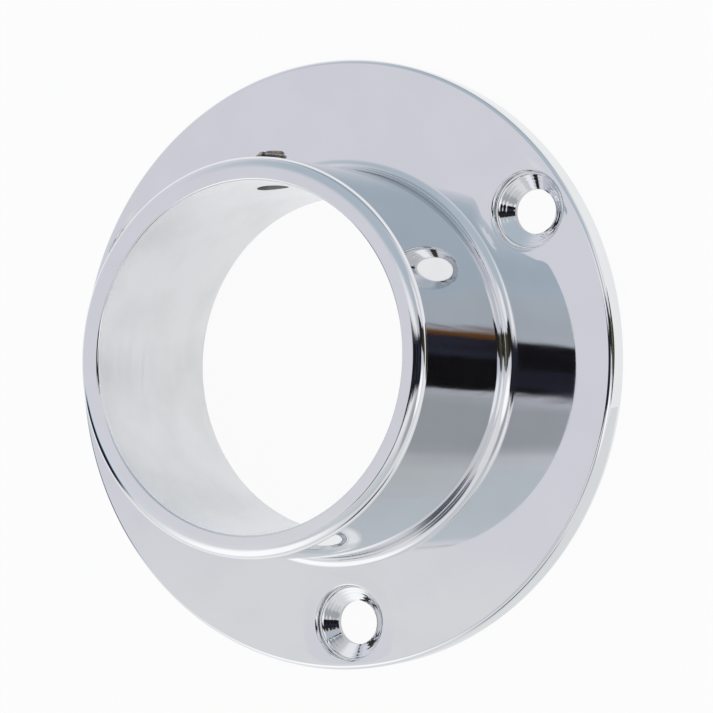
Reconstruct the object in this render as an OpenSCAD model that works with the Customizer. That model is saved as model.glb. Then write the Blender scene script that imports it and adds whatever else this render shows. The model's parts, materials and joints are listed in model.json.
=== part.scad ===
// Wall socket for a round wardrobe rail: a chrome-plated casting with a grub screw.
// The back face lies on z = 0, and the collar's bore runs along +Z.

/* [Rail] */
// Outer diameter of the rail that the socket holds
rail_d = 32; // [25:0.5:40]
// Difference between the bore and the rail, on the diameter
rail_clearance = 0.4; // [0.2:0.1:1.2]

/* [Flange] */
// Outer diameter of the flange
flange_d = 58.6; // [58:0.2:80]
// Thickness of the flange
flange_t = 2.3; // [2.2:0.1:5]
// Radius of the flange's front edge
flange_edge_round = 0.45; // [0.2:0.05:1]

/* [Collar] */
// Height from the back face to the collar's rim
socket_h = 18.5; // [17:0.5:40]
// Thickness of the collar's wall at the rim
wall = 2.2; // [1.8:0.1:3]
// Draft of the collar's outside, in degrees
draft = 0.7; // [0:0.1:2]
// Radius of the gentle arc that the rim's face turns down with
rim_crown = 1.8; // [1:0.1:2]
// Angle that the gentle arc turns through, in degrees
rim_turn = 28; // [10:1:40]
// Radius of the tighter arc that meets the collar's side
rim_round = 0.7; // [0.4:0.05:0.8]
// Radius of the rim's inner edge
lip_round = 0.22; // [0.1:0.02:0.28]
// Radius of the fillet between the collar and the flange
root_fillet = 1.15; // [0.5:0.05:2]
// Bevel where the bore opens in the back face
back_bevel = 0.16; // [0.1:0.02:0.5]

/* [Screw holes] */
// Number of countersunk holes
screw_count = 3; // [2:1:4]
// Diameter of the hole for the screw's shank
screw_hole_d = 4.2; // [3.6:0.1:4.5]
// Length of the straight shank hole at the back
shank_land = 0.45; // [0.3:0.05:0.6]
// Diameter of the straight wall of the countersink
sink_d = 7.1; // [6.8:0.1:7.3]
// Included angle of the countersink's cone
sink_angle = 118; // [110:1:130]
// Radius between the straight wall and the cone
sink_fillet = 0.45; // [0.2:0.05:0.5]
// Radius of the countersink's edge in the flange's face
sink_lip = 0.22; // [0.1:0.02:0.3]
// Metal left between a countersink and the flange's edge
sink_margin = 0.65; // [0.5:0.05:0.9]

/* [Grub screw] */
// Diameter of the grub screw over its thread
grub_d = 2.9; // [2.5:0.1:4]
// Difference between the tapped hole and the screw, on the diameter
grub_clearance = 0.06; // [0.04:0.02:0.2]
// Length of the grub screw
grub_length = 3; // [2.5:0.1:5]
// Height of the grub screw's axis above the back face
grub_z = 11.8; // [9:0.1:12]
// Gap between the bore's wall and the screw's point
grub_recess = 0.3; // [0:0.05:0.6]
// Bevel at both ends of the grub screw
grub_bevel = 0.25; // [0.1:0.05:0.4]
// Width of the driver slot
slot_w = 0.4; // [0.3:0.05:0.6]
// Depth of the driver slot
slot_depth = 0.9; // [0.5:0.1:1.2]

/* [Hidden] */
$fn = 96;
// Overrun that carries each cut clear of the face it opens
over = 1;
bore_r = (rail_d + rail_clearance) / 2;
rim_r = bore_r + wall;
flange_r = flange_d / 2;
first_screw_angle = 30;
screw_step = 360 / screw_count;
screw_circle_r = flange_r - sink_margin - sink_lip - sink_d / 2;
sink_slope = sink_angle / 2;
grub_start = bore_r + grub_recess;
grub_tip_d = grub_d - 2 * grub_bevel;
// The tapped hole ends outside the collar and well inside the bore
grub_hole_start = bore_r / 2;

// Radius of the collar's drafted side at height z
function side_r(z) = rim_r + (socket_h - z) * tan(draft);

// The tight arc sits below the rim's face by what the gentle arc has dropped at its end
rim_drop = (rim_crown - rim_round) * (1 - cos(rim_turn));
rim_meet_z = socket_h - rim_drop - rim_round * (1 - sin(draft));
rim_centre = [side_r(rim_meet_z) - rim_round * cos(draft), socket_h - rim_drop - rim_round];
crown_centre = rim_centre - (rim_crown - rim_round) * [sin(rim_turn), cos(rim_turn)];
// Both arcs run on at the same slope where they join
crown_end = rim_centre + rim_round * [sin(rim_turn), cos(rim_turn)];

// Centre of the fillet between the drafted side and the flange's face
root_meet_z = flange_t + root_fillet * (1 - sin(draft));
root_centre = [side_r(root_meet_z) + root_fillet * cos(draft), flange_t + root_fillet];

// Centre of the fillet between the countersink's wall and its cone
sink_centre_r = sink_d / 2 - sink_fillet;
sink_cone_rise = (sink_centre_r - screw_hole_d / 2) / tan(sink_slope);
sink_centre_z = shank_land + sink_cone_rise + sink_fillet / sin(sink_slope);

// Half section of the flange, with its front edge rounded
module flange_section() {
    corner = [flange_r - flange_edge_round, flange_t - flange_edge_round];
    square([corner[0], flange_t]);
    square([flange_r, corner[1]]);
    translate(corner) circle(flange_edge_round);
}

// Half section of the collar: a drafted side that runs into the rim through two arcs
module collar_section() {
    polygon([
        [0, 0],
        [side_r(0), 0],
        [side_r(rim_meet_z), rim_meet_z],
        rim_centre,
        crown_end,
        crown_centre,
        [crown_centre[0], socket_h],
        [0, socket_h]
    ]);
    translate(rim_centre) circle(rim_round);
    intersection() {
        translate(crown_centre) circle(rim_crown);
        polygon([crown_centre, [crown_centre[0], socket_h], [crown_end[0], socket_h], crown_end]);
    }
}

// Half section of the fillet, tangent to the drafted side and to the flange's face
module root_section() {
    difference() {
        polygon([
            [side_r(0) - wall / 2, flange_t / 2],
            [root_centre[0], flange_t / 2],
            [root_centre[0], flange_t],
            root_centre,
            [side_r(root_meet_z), root_meet_z],
            [side_r(root_meet_z) - wall / 2, root_meet_z]
        ]);
        translate(root_centre) circle(root_fillet);
    }
}

// The casting before it is bored
module casting_blank() {
    rotate_extrude() {
        flange_section();
        collar_section();
        root_section();
    }
}

// The bore, with a rounded lip at the rim and a small bevel at the back
module rail_bore() {
    translate([0, 0, -over]) cylinder(r = bore_r, h = socket_h + 2 * over);
    translate([0, 0, -over]) cylinder(r1 = bore_r + back_bevel + over, r2 = bore_r, h = back_bevel + over);
    rotate_extrude() lip_section(bore_r, socket_h, lip_round);
}

// Half section of what rounds the edge of a round hole where it opens in a face at height top
module lip_section(hole_r, top, radius) {
    difference() {
        translate([hole_r / 2, top - radius]) square([hole_r / 2 + radius, radius + over]);
        translate([hole_r + radius, top - radius]) circle(radius);
    }
}

// Half section of the countersink: cone, fillet and straight wall
module sink_section() {
    polygon([
        [0, shank_land],
        [screw_hole_d / 2, shank_land],
        [sink_centre_r + sink_fillet * cos(sink_slope), sink_centre_z - sink_fillet * sin(sink_slope)],
        [sink_centre_r, sink_centre_z],
        [sink_d / 2, sink_centre_z],
        [sink_d / 2, flange_t + over],
        [0, flange_t + over]
    ]);
    translate([sink_centre_r, sink_centre_z]) circle(sink_fillet);
}

// One countersunk screw hole
module screw_hole() {
    translate([0, 0, -over]) cylinder(d = screw_hole_d, h = flange_t + 2 * over);
    rotate_extrude() {
        sink_section();
        lip_section(sink_d / 2, flange_t, sink_lip);
    }
}

module screw_holes() {
    for (i = [0 : screw_count - 1])
        rotate(first_screw_angle + i * screw_step) translate([screw_circle_r, 0, 0]) screw_hole();
}

// The tapped hole for the grub screw, on the collar's +Y side
module grub_hole() {
    translate([0, grub_hole_start, grub_z]) rotate([-90, 0, 0])
        cylinder(d = grub_d + grub_clearance, h = side_r(0) + over - grub_hole_start);
}

// The flanged casting, one piece
module socket() {
    color("#c9cbd0") difference() {
        casting_blank();
        rail_bore();
        screw_holes();
        grub_hole();
    }
}

// The slotted grub screw, with its point towards the bore and its slot along the bore's axis
module grub_screw() {
    color("#8d8f92") translate([0, grub_start, grub_z]) rotate([-90, 0, 0]) difference() {
        union() {
            cylinder(d1 = grub_tip_d, d2 = grub_d, h = grub_bevel);
            translate([0, 0, grub_bevel]) cylinder(d = grub_d, h = grub_length - 2 * grub_bevel);
            translate([0, 0, grub_length - grub_bevel])
                cylinder(d1 = grub_d, d2 = grub_tip_d, h = grub_bevel);
        }
        translate([-slot_w / 2, -grub_d / 2 - over, grub_length - slot_depth])
            cube([slot_w, grub_d + 2 * over, slot_depth + over]);
    }
}

socket();
grub_screw();
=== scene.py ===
"""Chrome-plated wardrobe rail socket: its finish, the studio around it and the camera.

The socket lies on its back on a white floor. Lengths are metres unless a name says otherwise.
"""
import json
import math
import random

import bpy
from mathutils import Matrix, Vector
from mathutils.geometry import delaunay_2d_cdt


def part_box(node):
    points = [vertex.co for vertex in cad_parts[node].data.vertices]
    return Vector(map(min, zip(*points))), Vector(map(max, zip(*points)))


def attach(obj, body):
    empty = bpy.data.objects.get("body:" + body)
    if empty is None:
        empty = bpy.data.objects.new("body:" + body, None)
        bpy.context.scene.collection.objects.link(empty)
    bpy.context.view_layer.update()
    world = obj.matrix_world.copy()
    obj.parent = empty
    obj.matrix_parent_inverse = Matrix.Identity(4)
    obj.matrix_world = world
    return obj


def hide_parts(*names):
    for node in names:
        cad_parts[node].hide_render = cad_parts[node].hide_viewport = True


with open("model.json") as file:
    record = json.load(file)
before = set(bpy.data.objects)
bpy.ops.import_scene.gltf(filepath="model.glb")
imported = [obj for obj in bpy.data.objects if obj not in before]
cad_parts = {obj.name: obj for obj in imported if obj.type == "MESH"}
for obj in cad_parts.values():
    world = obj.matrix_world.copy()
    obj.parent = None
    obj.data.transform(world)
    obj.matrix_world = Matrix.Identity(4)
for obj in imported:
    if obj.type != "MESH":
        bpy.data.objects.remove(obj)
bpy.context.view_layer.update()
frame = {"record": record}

MM = 0.001
TAU = 2 * math.pi

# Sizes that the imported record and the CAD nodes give
MOUNTS = {mount["name"]: mount for mount in frame["record"]["mounts"]}
SOCKET_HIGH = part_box("socket")[1]
SCREW_LOW, SCREW_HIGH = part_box("grub_screw")
BORE_R = MOUNTS["rail_bore"]["dims"]["r_mm"] * MM
SHANK_R = MOUNTS["fixing_holes"]["dims"]["hole_r_mm"] * MM
SCREW_CIRCLE_R = MOUNTS["fixing_holes"]["dims"]["pcd_mm"] / 2 * MM
SCREW_COUNT = MOUNTS["fixing_holes"]["dims"]["count"]
SOCKET_H = SOCKET_HIGH[2]
FLANGE_R = SOCKET_HIGH[0]
GRUB_R = (SCREW_HIGH[0] - SCREW_LOW[0]) / 2
GRUB_Z = (SCREW_HIGH[2] + SCREW_LOW[2]) / 2
GRUB_START = SCREW_LOW[1]
GRUB_END = SCREW_HIGH[1]

# Section of the casting, with the values that the CAD model has
FLANGE_T = 2.3 * MM
FLANGE_EDGE_ROUND = 0.45 * MM
WALL = 2.2 * MM
DRAFT = math.radians(0.7)
RIM_CROWN = 1.8 * MM
RIM_TURN = math.radians(28)
RIM_ROUND = 0.7 * MM
LIP_ROUND = 0.22 * MM
ROOT_FILLET = 1.15 * MM
BACK_BEVEL = 0.16 * MM
SHANK_LAND = 0.45 * MM
SINK_R = 3.55 * MM
SINK_SLOPE = math.radians(59)
SINK_FILLET = 0.45 * MM
SINK_LIP = 0.22 * MM
FIRST_SCREW = math.radians(30)
PORT_CLEARANCE = 0.03 * MM
PORT_R = GRUB_R + PORT_CLEARANCE

# Polishing before plating has washed the face down a little around each countersink
WASH_SLOPE = math.tan(math.radians(3.8))
WASH_STEEP = 1.0 * MM
WASH_WIDTH = 2.1 * MM
WASH_INNER = 0.6 * MM
WASH_OUTER = 1.2 * MM

# The countersinking tool has left uneven rings on the cones
TOOL_PITCH = (0.16 * MM, 0.42 * MM)
TOOL_DEPTH_SHARE = (0.0005, 0.0075)
TOOL_STEPS = 8
TOOL_SEED = 5

# Grub screw: a metric thread, a screwdriver slot at the outer end and a bevel at each end
THREAD_PITCH = 0.5 * MM
THREAD_DEPTH = 0.27 * MM
THREAD_CREST_SHARE = 0.14
THREAD_ROOT_SHARE = 0.18
SCREW_BEVEL = 0.3 * MM
SLOT_W = 0.4 * MM
SLOT_DEPTH = 0.9 * MM

# How finely the pieces are divided
TURN_STEPS = 432
SINK_STEPS = 144
ARC_STEP = math.radians(5)
FACE_RINGS = 10
FACE_MARGIN = 0.1 * MM
PORT_STEPS = 72
PORT_COLUMNS = 16
PORT_ROWS = 16
PORT_RING_SCALE = 1.12
PORT_CLEAR_SCALE = 1.25
THREAD_STEPS = 96
PITCH_STEPS = 10

# What counts as the same place: in a mesh, in a flat outline and in a height or radius
PLACES_PER_METRE = 1e7
OUTLINE_GAP = 1e-9
SLACK = 0.001 * MM

# Finish. Scales are per metre, and a quarter turn is 0.25. The ranges are those of the noise over
# which a colour or the gloss changes.
PATCH_SCALE = 180.0
SMEAR_SCALE = 140.0
MARK_SCALE = 9000.0
MARK_STRETCH = (0.03, 0.03, 1.0)
MARK_DEPTH = 0.0012 * MM
BORE_ROUGHNESS = (0.34, 0.41)
BORE_ANISOTROPY = 0.95
BORE_GLOSS_TURN = 0.25
WORN_RANGE = (0.35, 0.7)
SMEARED_RANGE = (0.4, 0.7)
GLOSS_RANGE = (0.3, 0.7)

# Studio. Its directions are (u, v): degrees from straight up, u towards the camera, which is the
# photo's right, and v towards the photo's top. Angles on its floor are degrees from the camera's side
# towards the photo's top.
TENT_R = 2.2
TENT_RINGS = 16
TENT_SIDES = 48
FLOOR_HALF = 2.5
FLOOR_SINK = 0.01 * MM
FLOOR_GREY = (0.86, 0.86, 0.86, 1.0)
FLOOR_GLOW = 0.93
CARD_STEPS = 32
CARD_LIFT = 0.02 * MM
CARD_TIP = 0.1 * MM
# How far a card's ends stand off from its middle, in gaps between the card and the flange
CARD_TAPER = 3

# Camera. Its turns are in degrees, the last one first.
SENSOR_MM = 36.0
LENS_MM = 143.67
CAMERA_CLIP = (0.01, 20.0)
CAMERA_PLACE = (0.13475, -0.01984, 0.23921)
CAMERA_TURNS = (("Z", -5.0), ("X", 2.0978), ("Y", 29.372))
CAMERA_AZIMUTH = math.radians(-8.72)


def add_object(name, data):
    """Puts a mesh or a camera into the scene."""
    piece = bpy.data.objects.new(name, data)
    bpy.context.scene.collection.objects.link(piece)
    return piece


def plain_object(name, vertices, faces):
    mesh = bpy.data.meshes.new(name)
    mesh.from_pydata(vertices, [], faces)
    mesh.update()
    return add_object(name, mesh)


class Skin:
    """Faces with one normal for each corner. Corners that share a place share a vertex."""

    def __init__(self):
        self.vertices = []
        self.faces = []
        self.normals = []
        self.materials = []
        self.index = {}

    def vertex(self, place):
        key = tuple(round(value * PLACES_PER_METRE) for value in place)
        if key not in self.index:
            self.index[key] = len(self.vertices)
            self.vertices.append(tuple(place))
        return self.index[key]

    def face(self, corners, material):
        """Adds a face from (place, normal) corners, wound so that it faces along its normals."""
        numbers = [self.vertex(place) for place, _ in corners]
        kept = [i for i in range(len(numbers)) if numbers[i] != numbers[i - 1]]
        if len(kept) < 3:
            return
        corners = [corners[i] for i in kept]
        numbers = [numbers[i] for i in kept]
        across = (corners[1][0] - corners[0][0]).cross(corners[2][0] - corners[0][0])
        if across.dot(corners[0][1] + corners[1][1] + corners[2][1]) < 0:
            corners.reverse()
            numbers.reverse()
        self.faces.append(numbers)
        self.normals.extend(normal for _, normal in corners)
        self.materials.append(material)

    def build(self, name, materials):
        mesh = bpy.data.meshes.new(name)
        mesh.from_pydata(self.vertices, [], self.faces)
        for material in materials:
            mesh.materials.append(material)
        mesh.polygons.foreach_set("material_index", self.materials)
        mesh.polygons.foreach_set("use_smooth", [True] * len(self.faces))
        mesh.update()
        mesh.normals_split_custom_set([tuple(normal) for normal in self.normals])
        return add_object(name, mesh)


# Places of the materials in the casting's list
CHROME, SATIN, CAST = 0, 1, 2


def arc(centre, radius, start, end, facing=1):
    """Stations (r, z, normal r, normal z) along an arc. facing -1 turns the normals to the centre."""
    steps = max(2, round(abs(end - start) / ARC_STEP))
    stations = []
    for i in range(steps + 1):
        angle = start + (end - start) * i / steps
        c, s = math.cos(angle), math.sin(angle)
        stations.append((centre[0] + radius * c, centre[1] + radius * s, facing * c, facing * s))
    return stations


def line(start, end, normal):
    """The two stations of a straight stretch."""
    return [(*start, *normal), (*end, *normal)]


def turned(station, angle, axis=(0.0, 0.0)):
    """The place and normal of a station that is turned about a vertical axis."""
    r, z, normal_r, normal_z = station
    c, s = math.cos(angle), math.sin(angle)
    place = Vector((axis[0] + r * c, axis[1] + r * s, z))
    return place, Vector((normal_r * c, normal_r * s, normal_z))


def revolve(skin, stations, steps, material, axis=(0.0, 0.0)):
    for i in range(steps):
        a, b = TAU * i / steps, TAU * (i + 1) / steps
        for low, high in zip(stations, stations[1:]):
            skin.face([turned(low, a, axis), turned(low, b, axis),
                       turned(high, b, axis), turned(high, a, axis)], material)


def bore_r(z):
    """The bore's radius, which is the same at every height."""
    return BORE_R


def side_r(z):
    """The radius of the collar's drafted outside at height z."""
    return BORE_R + WALL + (SOCKET_H - z) * math.tan(DRAFT)


def screw_centres():
    for i in range(SCREW_COUNT):
        angle = FIRST_SCREW + TAU * i / SCREW_COUNT
        yield SCREW_CIRCLE_R * math.cos(angle), SCREW_CIRCLE_R * math.sin(angle)


# Centres of the section's arcs
rim_drop = (RIM_CROWN - RIM_ROUND) * (1 - math.cos(RIM_TURN))
rim_meet_z = SOCKET_H - rim_drop - RIM_ROUND * (1 - math.sin(DRAFT))
rim_centre = (side_r(rim_meet_z) - RIM_ROUND * math.cos(DRAFT), SOCKET_H - rim_drop - RIM_ROUND)
crown_centre = (rim_centre[0] - (RIM_CROWN - RIM_ROUND) * math.sin(RIM_TURN), SOCKET_H - RIM_CROWN)
root_meet_z = FLANGE_T + ROOT_FILLET * (1 - math.sin(DRAFT))
root_centre = (side_r(root_meet_z) + ROOT_FILLET * math.cos(DRAFT), FLANGE_T + ROOT_FILLET)
edge_centre = (FLANGE_R - FLANGE_EDGE_ROUND, FLANGE_T - FLANGE_EDGE_ROUND)
sink_centre_r = SINK_R - SINK_FILLET
sink_centre = (sink_centre_r, SHANK_LAND + (sink_centre_r - SHANK_R) / math.tan(SINK_SLOPE)
               + SINK_FILLET / math.sin(SINK_SLOPE))


def ring(r, count, axis=(0.0, 0.0)):
    """Points that are evenly spaced on a circle."""
    angles = [TAU * i / count for i in range(count)]
    return [Vector((axis[0] + r * math.cos(a), axis[1] + r * math.sin(a))) for a in angles]


def triangles(loops, loose, keep):
    """Triangulates closed loops with loose points between them, and keeps what keep() allows."""
    points, edges = [], []
    for loop in loops:
        first = len(points)
        points += loop
        edges += [(first + i, first + (i + 1) % len(loop)) for i in range(len(loop))]
    points += loose
    found, _, faces, *_ = delaunay_2d_cdt(points, edges, [], 0, OUTLINE_GAP, False)
    for face in faces:
        corners = [found[i] for i in face]
        if keep(sum(corners, Vector((0, 0))) / 3):
            yield corners


def flat_face(skin, z, normal, inner_r, outer_r, hole_r, washed, material):
    """A flat annulus of the flange with its three screw holes, and finer rings where it is washed."""
    centres = [Vector(centre) for centre in screw_centres()]
    loops = [ring(inner_r, TURN_STEPS), ring(outer_r, TURN_STEPS)]
    loops += [ring(hole_r, SINK_STEPS, centre) for centre in centres]
    loose = []
    if washed:
        for k in range(1, FACE_RINGS + 1):
            reach = hole_r + WASH_WIDTH * k / FACE_RINGS
            for centre in centres:
                loose += [p for p in ring(reach, SINK_STEPS, centre)
                          if inner_r + FACE_MARGIN < p.length < outer_r - FACE_MARGIN]

    # A face inside a hole has its middle nearer the hole's axis than the outline's chords are
    hole_edge = hole_r * math.cos(TAU / 2 / SINK_STEPS)

    def keep(middle):
        clear = all((middle - centre).length > hole_edge for centre in centres)
        return clear and middle.length > inner_r

    for corners in triangles(loops, loose, keep):
        skin.face([(Vector((p.x, p.y, z)), Vector(normal)) for p in corners], material)


def pierced_wall(skin, radius_at, lean, low_z, high_z, facing, material):
    """The collar's outside or its bore, with the round port for the grub screw on the +Y side."""
    column = TAU / TURN_STEPS
    port_column = TURN_STEPS // 4
    normal_r, normal_z = facing * math.cos(lean), facing * math.sin(lean)
    stations = [(radius_at(z), z, normal_r, normal_z) for z in (low_z, high_z)]
    for i in range(TURN_STEPS):
        if port_column - PORT_COLUMNS <= i < port_column + PORT_COLUMNS:
            continue
        skin.face([turned(stations[0], i * column), turned(stations[0], (i + 1) * column),
                   turned(stations[1], (i + 1) * column), turned(stations[1], i * column)], material)

    # Around the port the wall is triangulated unrolled, as (angle from +Y times radius, z)
    def unrolled_port(scale):
        points = []
        for k in range(PORT_STEPS):
            angle = TAU * k / PORT_STEPS
            x, z = scale * PORT_R * math.cos(angle), GRUB_Z + scale * PORT_R * math.sin(angle)
            points.append(Vector((math.asin(x / radius_at(z)) * BORE_R, z)))
        return points

    def corner(point):
        angle = TAU / 4 - point.x / BORE_R
        return turned((radius_at(point.y), point.y, normal_r, normal_z), angle)

    columns = [k * column * BORE_R for k in range(-PORT_COLUMNS, PORT_COLUMNS + 1)]
    border = [Vector((s, low_z)) for s in columns] + [Vector((s, high_z)) for s in reversed(columns)]
    heights = [low_z + (high_z - low_z) * k / PORT_ROWS for k in range(1, PORT_ROWS)]
    loose = [Vector((s, z)) for s in columns[1:-1] for z in heights
             if math.hypot(s, z - GRUB_Z) > PORT_CLEAR_SCALE * PORT_R]
    loose += unrolled_port(PORT_RING_SCALE)

    # A face inside the port has its middle nearer the port's axis than the outline's chords are
    port_edge = PORT_R * math.cos(TAU / 2 / PORT_STEPS)

    def keep(middle):
        x = radius_at(middle.y) * math.sin(middle.x / BORE_R)
        return math.hypot(x, middle.y - GRUB_Z) > port_edge

    for corners in triangles([border, unrolled_port(1.0)], loose, keep):
        skin.face([corner(p) for p in corners], material)


def port_wall(skin, material):
    """The plain wall of the tapped hole, from the bore to the collar's outside."""
    def end(radius_at, angle):
        x, z = PORT_R * math.cos(angle), GRUB_Z + PORT_R * math.sin(angle)
        place = Vector((x, math.sqrt(radius_at(z) ** 2 - x * x), z))
        return place, Vector((-math.cos(angle), 0, -math.sin(angle)))

    for k in range(PORT_STEPS):
        a, b = TAU * k / PORT_STEPS, TAU * (k + 1) / PORT_STEPS
        skin.face([end(bore_r, a), end(bore_r, b), end(side_r, b), end(side_r, a)], material)


def ease(value, low, high):
    """Rises smoothly from 0 at low to 1 at high."""
    share = min(max((value - low) / (high - low), 0.0), 1.0)
    return share * share * (3 - 2 * share)


def wash(x, y):
    """How far the polished face has sunk at (x, y)."""
    r = math.hypot(x, y)
    held = ease(r, root_centre[0], root_centre[0] + WASH_INNER)
    held *= ease(-r, -edge_centre[0], WASH_OUTER - edge_centre[0])
    fading = WASH_WIDTH - WASH_STEEP
    depth = 0.0
    for centre_x, centre_y in screw_centres():
        away = max(math.hypot(x - centre_x, y - centre_y) - SINK_R - SINK_LIP, 0.0)
        if away < WASH_STEEP:
            depth += WASH_SLOPE * (WASH_STEEP - away + fading / 2)
        elif away < WASH_WIDTH:
            depth += WASH_SLOPE * (WASH_WIDTH - away) ** 2 / (2 * fading)
    return depth * held


def wash_slope(x, y, step=0.01 * MM):
    return Vector(((wash(x - step, y) - wash(x + step, y)) / (2 * step),
                   (wash(x, y - step) - wash(x, y + step)) / (2 * step)))


def wash_down(skin):
    """Sinks the flange's front face around the countersinks, and tilts the normals to suit."""
    low, high = edge_centre[1] - SLACK, FLANGE_T + SLACK
    touched = [low < z < high and math.hypot(x, y) > root_centre[0] - SLACK
               for x, y, z in skin.vertices]
    first = 0
    for face in skin.faces:
        for k, number in enumerate(face):
            if touched[number]:
                normal = skin.normals[first + k]
                slope = wash_slope(*skin.vertices[number][:2])
                tilted = normal - Vector((slope.x, slope.y, 0)) * normal.z
                skin.normals[first + k] = tilted.normalized()
        first += len(face)
    for number, hit in enumerate(touched):
        if hit:
            x, y, z = skin.vertices[number]
            skin.vertices[number] = (x, y, z - wash(x, y))


def tooled_cone(top, bottom):
    """Stations down a cone with the uneven rings that the tool has left in it."""
    run = Vector(bottom) - Vector(top)
    along = run.normalized()
    out = Vector((along.y, -along.x))
    chance = random.Random(TOOL_SEED)
    ends = [0.0]
    while ends[-1] < run.length:
        ends.append(ends[-1] + chance.uniform(*TOOL_PITCH))
    fit = run.length / ends[-1]
    stations = [(*top, *out)]
    for start, end in zip(ends, ends[1:]):
        pitch = (end - start) * fit
        depth = pitch * chance.uniform(*TOOL_DEPTH_SHARE)
        for k in range(1, TOOL_STEPS + 1):
            turn = TAU * k / TOOL_STEPS
            tilt = math.atan(-depth * math.sin(turn) * TAU / pitch)
            place = Vector(top) + along * (start * fit + pitch * k / TOOL_STEPS)
            place -= out * depth * (1 - math.cos(turn))
            normal = out * math.cos(tilt) + along * math.sin(tilt)
            stations.append((*place, *normal))
    return stations


def countersink(skin, axis):
    """Lip, straight wall, fillet, cone and shank hole of one countersunk hole."""
    wall_top = FLANGE_T - SINK_LIP
    cone_top = (sink_centre[0] + SINK_FILLET * math.cos(SINK_SLOPE),
                sink_centre[1] - SINK_FILLET * math.sin(SINK_SLOPE))
    stretches = [
        arc((SINK_R + SINK_LIP, wall_top), SINK_LIP, TAU / 4, TAU / 2),
        line((SINK_R, wall_top), (SINK_R, sink_centre[1]), (-1, 0)),
        arc(sink_centre, SINK_FILLET, 0, -SINK_SLOPE, -1),
        tooled_cone(cone_top, (SHANK_R, SHANK_LAND)),
    ]
    for stations in stretches:
        revolve(skin, stations, SINK_STEPS, CHROME, axis)
    revolve(skin, line((SHANK_R, SHANK_LAND), (SHANK_R, 0), (-1, 0)), SINK_STEPS, CAST, axis)


def casting_skin():
    """The whole surface of the casting, with the wash of its front face."""
    skin = Skin()
    bevelled = BORE_R + BACK_BEVEL
    slant = math.sqrt(0.5)
    lip_centre = (BORE_R + LIP_ROUND, SOCKET_H - LIP_ROUND)
    revolve(skin, line((bevelled, 0), (BORE_R, BACK_BEVEL), (-slant, -slant)), TURN_STEPS, SATIN)
    pierced_wall(skin, bore_r, 0.0, BACK_BEVEL, lip_centre[1], -1, SATIN)
    rim_and_side = [
        arc(lip_centre, LIP_ROUND, TAU / 2, TAU / 4),
        line((lip_centre[0], SOCKET_H), (crown_centre[0], SOCKET_H), (0, 1)),
        arc(crown_centre, RIM_CROWN, TAU / 4, TAU / 4 - RIM_TURN),
        arc(rim_centre, RIM_ROUND, TAU / 4 - RIM_TURN, DRAFT),
        arc(root_centre, ROOT_FILLET, TAU / 2 + DRAFT, TAU * 3 / 4, -1),
        arc(edge_centre, FLANGE_EDGE_ROUND, TAU / 4, 0),
        line((FLANGE_R, edge_centre[1]), (FLANGE_R, 0), (1, 0)),
    ]
    for stations in rim_and_side:
        revolve(skin, stations, TURN_STEPS, CHROME)
    pierced_wall(skin, side_r, DRAFT, root_meet_z, rim_meet_z, 1, CHROME)
    flat_face(skin, FLANGE_T, (0, 0, 1), root_centre[0], edge_centre[0], SINK_R + SINK_LIP, True, CHROME)
    flat_face(skin, 0.0, (0, 0, -1), bevelled, FLANGE_R, SHANK_R, False, CAST)
    for axis in screw_centres():
        countersink(skin, axis)
    port_wall(skin, CAST)
    wash_down(skin)
    return skin


def thread_profile(share):
    """Height of the thread, 0 to 1, along one pitch: a crest, a flank, a root and a flank."""
    flank = (1 - THREAD_CREST_SHARE - THREAD_ROOT_SHARE) / 2
    root_start = THREAD_CREST_SHARE + flank
    root_end = root_start + THREAD_ROOT_SHARE
    if share < THREAD_CREST_SHARE:
        return 1.0
    if share < root_start:
        return 1 - (share - THREAD_CREST_SHARE) / flank
    if share < root_end:
        return 0.0
    return (share - root_end) / flank


def threaded_screw():
    length = GRUB_END - GRUB_START
    rows = round(length / THREAD_PITCH * PITCH_STEPS)
    vertices, faces = [], []
    for k in range(rows + 1):
        along = length * k / rows
        to_end = min(along, length - along)
        limit = GRUB_R - max(0.0, SCREW_BEVEL - to_end)
        for i in range(THREAD_STEPS):
            share = (along / THREAD_PITCH - i / THREAD_STEPS) % 1.0
            r = min(limit, GRUB_R - THREAD_DEPTH * (1 - thread_profile(share)))
            angle = TAU * i / THREAD_STEPS
            vertices.append((r * math.cos(angle), GRUB_START + along, GRUB_Z + r * math.sin(angle)))
    for k in range(rows):
        for i in range(THREAD_STEPS):
            j = (i + 1) % THREAD_STEPS
            a, b = k * THREAD_STEPS, (k + 1) * THREAD_STEPS
            faces.append((a + i, b + i, b + j, a + j))
    last = rows * THREAD_STEPS
    faces.append(tuple(range(THREAD_STEPS)))
    faces.append(tuple(reversed(range(last, last + THREAD_STEPS))))
    piece = plain_object("grub_screw_threaded", vertices, faces)
    cut_slot(piece)
    return piece


def cut_slot(piece):
    """Cuts the screwdriver slot, which runs along Z, into the outer end."""
    reach = 2 * GRUB_R
    low = Vector((-SLOT_W / 2, GRUB_END - SLOT_DEPTH, GRUB_Z - reach))
    high = Vector((SLOT_W / 2, GRUB_END + reach, GRUB_Z + reach))
    corners = [(x, y, z) for x in (low.x, high.x) for y in (low.y, high.y) for z in (low.z, high.z)]
    sides = [(0, 1, 3, 2), (4, 6, 7, 5), (0, 4, 5, 1), (2, 3, 7, 6), (0, 2, 6, 4), (1, 5, 7, 3)]
    cutter = plain_object("slot", corners, sides)
    cut = piece.modifiers.new("slot", "BOOLEAN")
    cut.operation = "DIFFERENCE"
    cut.solver = "EXACT"
    cut.object = cutter
    bpy.context.view_layer.update()
    done = piece.evaluated_get(bpy.context.evaluated_depsgraph_get())
    result = bpy.data.meshes.new_from_object(done)
    piece.modifiers.clear()
    piece.data = result
    bpy.data.objects.remove(cutter)


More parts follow.
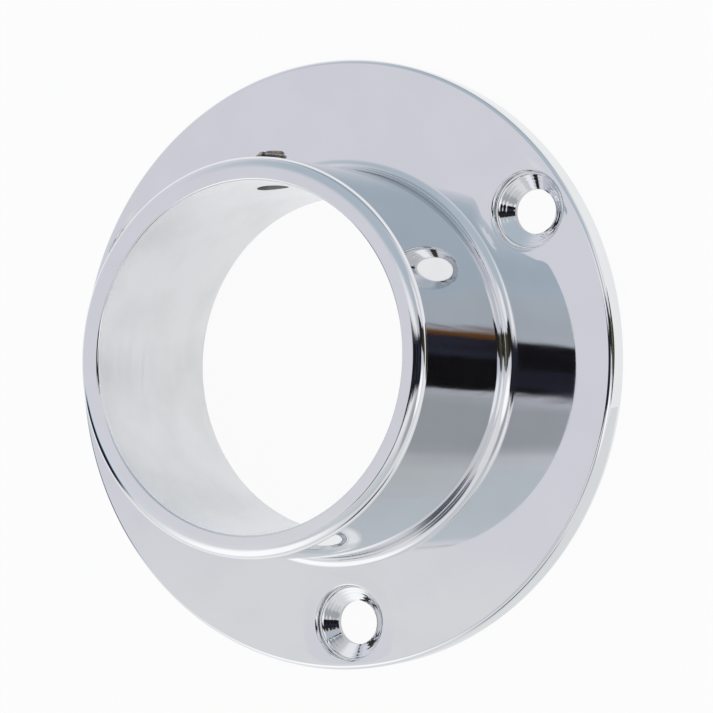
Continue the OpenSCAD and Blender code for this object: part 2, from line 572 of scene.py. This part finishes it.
class Graph:
    """A short way to write a node tree."""

    def __init__(self, tree):
        self.tree = tree
        tree.nodes.clear()

    def node(self, kind, inputs=None, **settings):
        made = self.tree.nodes.new(kind)
        for name, value in settings.items():
            setattr(made, name, value)
        for name, value in (inputs or {}).items():
            self.feed(made.inputs[name], value)
        return made

    def feed(self, socket, value):
        """Links a socket to another, or sets it to a plain value."""
        if isinstance(value, bpy.types.NodeSocket):
            self.tree.links.new(value, socket)
        else:
            socket.default_value = value

    def math(self, operation, *values):
        made = self.node("ShaderNodeMath", operation=operation)
        for socket, value in zip(made.inputs, values):
            self.feed(socket, value)
        return made.outputs[0]

    def product(self, *values):
        total = values[0]
        for value in values[1:]:
            total = self.math("MULTIPLY", total, value)
        return total

    def length(self, a, b):
        """The length of the vector (a, b)."""
        return self.math("SQRT", self.math("ADD", self.product(a, a), self.product(b, b)))

    def spread(self, value, low, high, to_low=0.0, to_high=1.0, smooth=True):
        """Spreads what lies between low and high over another range, and stays at its ends beyond."""
        kind = "SMOOTHSTEP" if smooth else "LINEAR"
        ends = {"Value": value, "From Min": low, "From Max": high, "To Min": to_low, "To Max": to_high}
        return self.node("ShaderNodeMapRange", ends, interpolation_type=kind).outputs["Result"]

    def above(self, value, edge, soft):
        """1 where the value is above a soft edge, and 0 below it."""
        return self.spread(value, edge - soft, edge + soft)

    def below(self, value, edge, soft):
        """1 where the value is below a soft edge, and 0 above it."""
        return self.spread(value, edge - soft, edge + soft, 1.0, 0.0)

    def mix(self, share, a, b):
        made = self.node("ShaderNodeMix", data_type="RGBA")
        # Inputs 6 and 7 and output 2 are the node's sockets for colours
        self.feed(made.inputs[0], share)
        self.feed(made.inputs[6], a)
        self.feed(made.inputs[7], b)
        return made.outputs[2]

    def object_place(self):
        return self.node("ShaderNodeTexCoord").outputs["Object"]

    def noise(self, place, scale, detail=2.0):
        inputs = {"Vector": place, "Scale": scale, "Detail": detail}
        return self.node("ShaderNodeTexNoise", inputs).outputs["Fac"]

    def bump(self, height, depth):
        inputs = {"Height": height, "Strength": 1.0, "Distance": depth}
        return self.node("ShaderNodeBump", inputs).outputs["Normal"]

    def emission(self, paint):
        return self.node("ShaderNodeEmission", {"Color": paint, "Strength": 1.0})

    def output(self, kind, shader):
        self.tree.links.new(shader.outputs[0], self.node(kind).inputs["Surface"])


def new_material(name):
    """A material and the graph of its empty node tree."""
    material = bpy.data.materials.new(name)
    material.use_nodes = True
    return material, Graph(material.node_tree)


def colour(r, g, b):
    """An sRGB colour, 0 to 255, as linear RGBA."""
    def linear(v):
        v /= 255
        return v / 12.92 if v <= 0.04045 else ((v + 0.055) / 1.055) ** 2.4
    return (linear(r), linear(g), linear(b), 1.0)


def metal(name, base, worn, roughness, bump_depth, bump_scale):
    """A metal with patches in colour and roughness and a fine surface bump."""
    material, graph = new_material(name)
    place = graph.object_place()
    patches = graph.noise(place, PATCH_SCALE, detail=4.0)
    fine = graph.noise(place, bump_scale, detail=3.0)
    graph.output("ShaderNodeOutputMaterial", graph.node("ShaderNodeBsdfPrincipled", {
        "Base Color": graph.mix(graph.spread(patches, *WORN_RANGE), base, worn),
        "Metallic": 1.0,
        "Roughness": graph.spread(patches, *GLOSS_RANGE, *roughness),
        "Normal": graph.bump(fine, bump_depth)}))
    return material


def turned_metal(name, base, worn):
    """Plate over a turned bore. Fine marks run round the axis, so gloss spreads along it."""
    material, graph = new_material(name)
    place = graph.object_place()
    drawn_out = graph.node("ShaderNodeVectorMath", {0: place, 1: MARK_STRETCH}, operation="MULTIPLY")
    marks = graph.noise(drawn_out.outputs[0], MARK_SCALE, detail=4.0)
    smears = graph.noise(place, SMEAR_SCALE, detail=4.0)
    tangent = graph.node("ShaderNodeTangent", direction_type="RADIAL", axis="Z")
    graph.output("ShaderNodeOutputMaterial", graph.node("ShaderNodeBsdfPrincipled", {
        "Base Color": graph.mix(graph.spread(smears, *SMEARED_RANGE), base, worn),
        "Metallic": 1.0,
        "Roughness": graph.spread(marks, *GLOSS_RANGE, *BORE_ROUGHNESS),
        "Anisotropic": BORE_ANISOTROPY,
        "Anisotropic Rotation": BORE_GLOSS_TURN,
        "Tangent": tangent.outputs[0],
        "Normal": graph.bump(marks, MARK_DEPTH)}))
    return material


def dress_casting():
    chrome = metal("chrome", base=(0.80, 0.81, 0.83, 1), worn=(0.78, 0.79, 0.81, 1),
                   roughness=(0.02, 0.05), bump_depth=0.0001 * MM, bump_scale=9000)
    satin = turned_metal("satin_plate", base=(0.94, 0.948, 0.962, 1), worn=(0.88, 0.888, 0.90, 1))
    cast = metal("thin_plate", base=(0.62, 0.62, 0.63, 1), worn=(0.50, 0.50, 0.51, 1),
                 roughness=(0.30, 0.45), bump_depth=0.01 * MM, bump_scale=1500)
    casting = casting_skin().build("socket_casting", [chrome, satin, cast])
    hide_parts("socket")
    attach(casting, "root")


def dress_screw():
    steel = metal("screw_steel", base=(0.44, 0.41, 0.38, 1), worn=(0.26, 0.24, 0.22, 1),
                  roughness=(0.25, 0.42), bump_depth=0.002 * MM, bump_scale=9000)
    screw = threaded_screw()
    screw.data.materials.clear()
    screw.data.materials.append(steel)
    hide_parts("grub_screw")
    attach(screw, "root")


def show_in_metal_only(piece):
    piece.visible_camera = False
    piece.visible_diffuse = False
    piece.visible_shadow = False


def studio_floor():
    """A floor that glows white to the camera and in the metal. To other light it is plain grey."""
    material, graph = new_material("floor_white")
    path = graph.node("ShaderNodeLightPath").outputs
    in_metal = graph.math("MAXIMUM", path["Is Glossy Ray"], path["Is Transmission Ray"])
    seen = graph.math("MAXIMUM", path["Is Camera Ray"], in_metal)
    plain = graph.node("ShaderNodeBsdfDiffuse", {"Color": FLOOR_GREY})
    white = graph.emission((1, 1, 1, 1))
    blend = graph.node("ShaderNodeMixShader", {0: graph.product(seen, FLOOR_GLOW),
                                               1: plain.outputs[0], 2: white.outputs[0]})
    graph.output("ShaderNodeOutputMaterial", blend)
    corners = [(x * FLOOR_HALF, y * FLOOR_HALF, -FLOOR_SINK)
               for x, y in ((-1, -1), (1, -1), (1, 1), (-1, 1))]
    floor = plain_object("studio_floor", corners, [(0, 1, 2, 3)])
    floor.data.materials.append(material)


class Tent:
    """Paints the inside of the tent by direction, one soft zone over another."""

    FABRIC = (225, 225, 232)
    NOISE_RANGE = (0.25, 0.75)
    FOLD_SCALE, FOLD_DEGREES = 9.0, 4.0
    CREASE_SCALE, CREASE_DEGREES = 21.0, 3.0
    FRAY_SCALE, FRAY_DEGREES = 12.0, 3.0
    # The frays hardly change along v
    FRAY_STRETCH = 0.01
    # Keeps the division clear of zero straight up
    SMALLEST_FLAT = 1e-4

    def __init__(self, graph):
        self.graph = graph
        unit = graph.node("ShaderNodeVectorMath", {0: graph.object_place()}, operation="NORMALIZE")
        direction = unit.outputs[0]
        x, y, z = graph.node("ShaderNodeSeparateXYZ", {0: direction}).outputs
        tilt = graph.product(graph.math("ARCCOSINE", z), 180 / math.pi)
        flat = graph.math("MAXIMUM", graph.length(x, y), self.SMALLEST_FLAT)
        reach = graph.math("DIVIDE", tilt, flat)
        self.folds = graph.noise(direction, self.FOLD_SCALE)
        creases = graph.noise(direction, self.CREASE_SCALE, detail=3.0)
        plain_u, plain_v = graph.product(x, reach), graph.product(y, reach)
        along_edges = graph.node("ShaderNodeCombineXYZ", {
            "X": plain_u, "Y": graph.product(plain_v, self.FRAY_STRETCH)}).outputs[0]
        frays = graph.noise(along_edges, self.FRAY_SCALE, detail=1.0)
        self.u = graph.math("ADD", plain_u, self.wander(self.folds, self.FOLD_DEGREES))
        self.v = graph.math("ADD", plain_v, self.wander(creases, self.CREASE_DEGREES))
        self.frayed_v = graph.math("ADD", self.v, self.wander(frays, self.FRAY_DEGREES))
        self.paint = colour(*self.FABRIC)

    def wander(self, noise, degrees):
        """Turns a noise into an offset that swings by so many degrees in all."""
        return self.graph.spread(noise, *self.NOISE_RANGE, -degrees / 2, degrees / 2, smooth=False)

    def lay(self, share, paint):
        self.paint = self.graph.mix(share, self.paint, paint)

    def patch(self, paint, centre, reach, full=0.5, gone=1.1):
        """A soft ellipse. It covers fully out to one share of its reach, and is gone at another."""
        graph = self.graph
        across = graph.math("DIVIDE", graph.math("SUBTRACT", self.u, centre[0]), reach[0])
        along = graph.math("DIVIDE", graph.math("SUBTRACT", self.v, centre[1]), reach[1])
        self.lay(graph.spread(graph.length(across, along), full, gone, 1.0, 0.0), paint)

    def strip(self, paint, u_range, low, high, slant, soft=0.8):
        """A frayed strip between two values of u. Its upper edge rises with u by the slant."""
        graph = self.graph
        middle = (u_range[0] + u_range[1]) / 2
        rise = graph.product(graph.math("SUBTRACT", self.u, middle), slant)
        leant = graph.math("SUBTRACT", self.frayed_v, rise)
        self.lay(graph.product(graph.above(self.u, u_range[0], soft),
                               graph.below(self.u, u_range[1], soft),
                               graph.above(self.frayed_v, low, soft),
                               graph.below(leant, high, soft)), paint)

    def seam(self, paint, centre, radius, width, v_range, soft=2.0):
        """A thin arc round a centre and on its camera side, between two values of v."""
        graph = self.graph
        across = graph.math("SUBTRACT", self.u, centre[0])
        along = graph.math("SUBTRACT", self.v, centre[1])
        off = graph.math("ABSOLUTE", graph.math("SUBTRACT", graph.length(across, along), radius))
        self.lay(graph.product(graph.spread(off, width / 2, width, 1.0, 0.0),
                               graph.above(self.v, v_range[0], soft),
                               graph.below(self.v, v_range[1], soft),
                               graph.spread(across, 0.0, soft)), paint)


def tent_paint(graph):
    tent = Tent(graph)
    lamp = colour(276, 276, 276)
    # Towards the photo's bottom the fabric is neutral, and a lamp behind it makes it white
    tent.lay(graph.below(tent.v, -15, soft=10), colour(234, 235, 237))
    tent.patch(lamp, (-30, -48), (34, 27), full=0.4)
    tent.patch(colour(232, 232, 234), (-29, -8), (10, 6), full=0.4)
    # Towards the photo's top it is in blue-grey shade, with a light part on the camera's side
    tent.patch(colour(186, 199, 209), (0, 40), (52, 34))
    tent.patch(colour(190, 197, 204), (26, 17), (14, 12))
    tent.patch(colour(161, 173, 183), (10, 80), (60, 22))
    tent.patch(colour(250, 251, 252), (48, 30), (16, 11))
    # Overhead it is bright
    tent.patch(colour(252, 252, 253), (0, 1), (18, 17))
    # Grey shade between the opening and the photo's bottom, darker low down
    tent.patch(colour(207, 209, 210), (8, -30), (26, 12), full=0.4)
    tent.patch(colour(174, 177, 181), (27, -16), (14, 12), gone=1.3)
    tent.patch(colour(211, 218, 222), (-7, -24), (25, 10), gone=1.0)
    tent.patch(colour(96, 101, 110), (46, -74), (40, 20))
    # A lamp low on the camera's side
    tent.patch(lamp, (56, -10), (24, 14), gone=1.0)
    # The dark room through the opening that the camera looks in by, with its brown edge, the gap over
    # the top and a seam of the fabric
    room = graph.mix(graph.above(tent.folds, 0.5, soft=0.1), colour(22, 20, 22), colour(44, 46, 58))
    tent.strip(colour(106, 68, 28), (25, 39), low=7.0, high=15.0, slant=0.3)
    tent.strip(room, (-17, 26), low=-5.0, high=6.5, slant=0.15)
    tent.strip(room, (20, 39), low=-5.0, high=12.0, slant=0.45)
    tent.seam(room, (-29, 0), radius=18.0, width=3.0, v_range=(-14.0, -3.0))
    tent.patch(colour(40, 40, 36), (56, 15), (28, 7), full=0.9, gone=1.05)
    tent.patch(colour(66, 64, 52), (92, 15), (32, 13), full=0.9, gone=1.05)
    # A pale panel on the far side of the object, with a dark gap beyond it
    tent.patch(colour(222, 230, 240), (-58, -16), (22, 14), full=0.3)
    tent.patch(colour(26, 34, 50), (-76, -22), (19, 14), full=0.6, gone=1.05)
    return tent.paint


def glowing_material(name, paint_with):
    """A material that glows as paint_with(graph) says. It isn't sampled as a lamp."""
    material, graph = new_material(name)
    graph.output("ShaderNodeOutputMaterial", graph.emission(paint_with(graph)))
    material.cycles.emission_sampling = "NONE"
    return material


def studio_tent():
    """A dome round the object that only the metal sees."""
    vertices = [(0.0, 0.0, TENT_R)]
    faces = []
    for k in range(1, TENT_RINGS + 1):
        tilt = TAU / 4 * k / TENT_RINGS
        points = ring(TENT_R * math.sin(tilt), TENT_SIDES)
        vertices += [(*point, TENT_R * math.cos(tilt)) for point in points]
    for i in range(TENT_SIDES):
        j = (i + 1) % TENT_SIDES
        faces.append((0, 1 + i, 1 + j))
        for k in range(TENT_RINGS - 1):
            a, b = 1 + k * TENT_SIDES, 1 + (k + 1) * TENT_SIDES
            faces.append((a + i, b + i, b + j, a + j))
    tent = plain_object("studio_tent", vertices, faces)
    tent.data.materials.append(glowing_material("tent_fabric", tent_paint))
    tent.rotation_euler.z = CAMERA_AZIMUTH
    show_in_metal_only(tent)


def floor_card(name, paint, low_degrees, high_degrees, gap, reach):
    """A spindle-shaped card on the floor beside the flange that only the metal sees."""
    low, high = math.radians(low_degrees), math.radians(high_degrees)
    taper = CARD_TAPER * gap
    vertices, faces = [], []
    for k in range(CARD_STEPS + 1):
        share = k / CARD_STEPS
        angle = CAMERA_AZIMUTH + low + (high - low) * share
        belly = math.sin(math.pi * share)
        inner = FLANGE_R + gap + taper * (1 - belly)
        for r in (inner, inner + CARD_TIP + reach * belly):
            vertices.append((r * math.cos(angle), r * math.sin(angle), CARD_LIFT))
    for k in range(CARD_STEPS):
        faces.append((2 * k, 2 * k + 1, 2 * k + 3, 2 * k + 2))
    card = plain_object(name, vertices, faces)
    card.data.materials.append(glowing_material(name, lambda graph: paint))
    show_in_metal_only(card)


def studio_light():
    world = bpy.data.worlds.new("studio")
    bpy.context.scene.world = world
    world.use_nodes = True
    graph = Graph(world.node_tree)
    light = graph.node("ShaderNodeBackground", {"Color": colour(228, 230, 234), "Strength": 1.0})
    graph.output("ShaderNodeOutputWorld", light)


def place_camera():
    data = bpy.data.cameras.new("camera")
    data.sensor_width = SENSOR_MM
    data.lens = LENS_MM
    data.clip_start, data.clip_end = CAMERA_CLIP
    camera = add_object("camera", data)
    turn = Matrix.Identity(4)
    for axis, degrees in CAMERA_TURNS:
        turn = turn @ Matrix.Rotation(math.radians(degrees), 4, axis)
    camera.matrix_world = Matrix.Translation(CAMERA_PLACE) @ turn
    bpy.context.scene.camera = camera


dress_casting()
dress_screw()
studio_floor()
studio_tent()
floor_card("card_front", colour(64, 62, 48), -4, 19, gap=1.0 * MM, reach=60 * MM)
# Painted shade: a pale grey card close to the flange's edge on the camera's side, towards the photo's
# bottom, that only the metal sees. It stands in for the floor's contact shadow beside the flange, as the
# flange's side wall reflects it.
floor_card("card_right_painted_shade", colour(232, 234, 234), -96, -4, gap=0.05 * MM, reach=50 * MM)
studio_light()
place_camera()
bpy.context.scene.view_settings.view_transform = "Standard"
